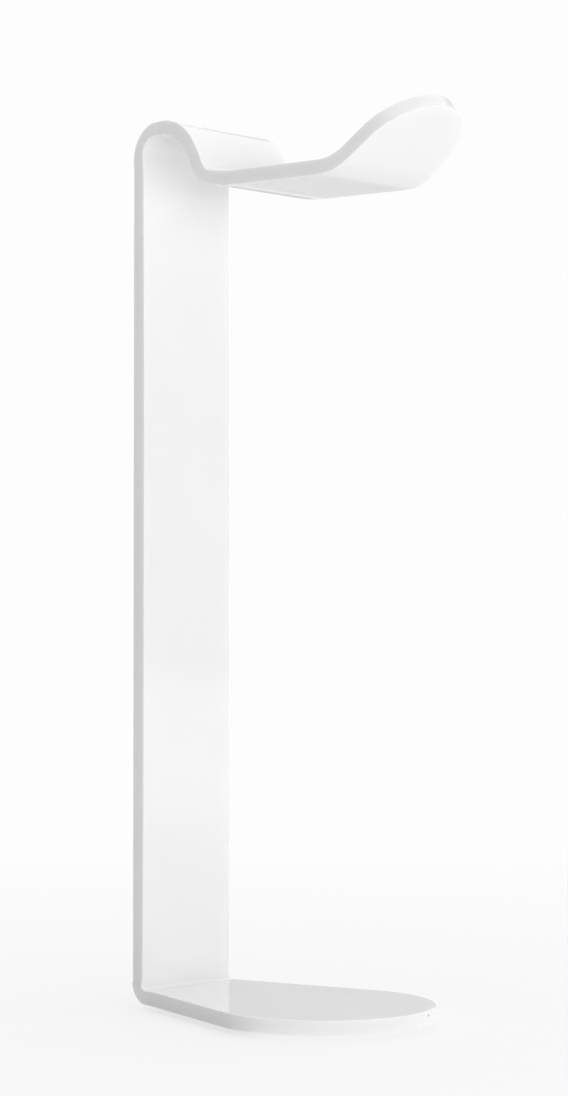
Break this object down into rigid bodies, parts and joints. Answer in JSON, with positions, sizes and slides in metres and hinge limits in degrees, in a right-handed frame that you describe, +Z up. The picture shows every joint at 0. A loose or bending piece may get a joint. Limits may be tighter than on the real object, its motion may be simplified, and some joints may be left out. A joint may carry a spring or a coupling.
{
  "type": "headphone stand",
  "caption": "Free-standing headphone stand bent from one flat strip: teardrop base, upright column, rounded hump, cradle and a round upturned lip, on low bumper feet.",
  "frame": {"origin": "on the table, under the middle of the stand's bounding box", "axes": "+Z up, +X from the column towards the tip of the base and of the lip, Y = 0 is the mirror plane"},
  "size_m": [0.102, 0.06, 0.245],
  "materials": {
    "sheet": "opaque white acrylic, polished faces, flame-polished edges",
    "bumper": "translucent soft bumper, smooth",
    "adhesive": "off-white adhesive film"
  },
  "bodies": {
    "root": {"bent_sheet": "sheet", "foot_front_left": "bumper", "foot_front_right": "bumper", "foot_rear_left": "bumper", "foot_rear_right": "bumper", "pad_front_left": "adhesive", "pad_front_right": "adhesive", "pad_rear_left": "adhesive", "pad_rear_right": "adhesive"}
  },
  "joints": []
}
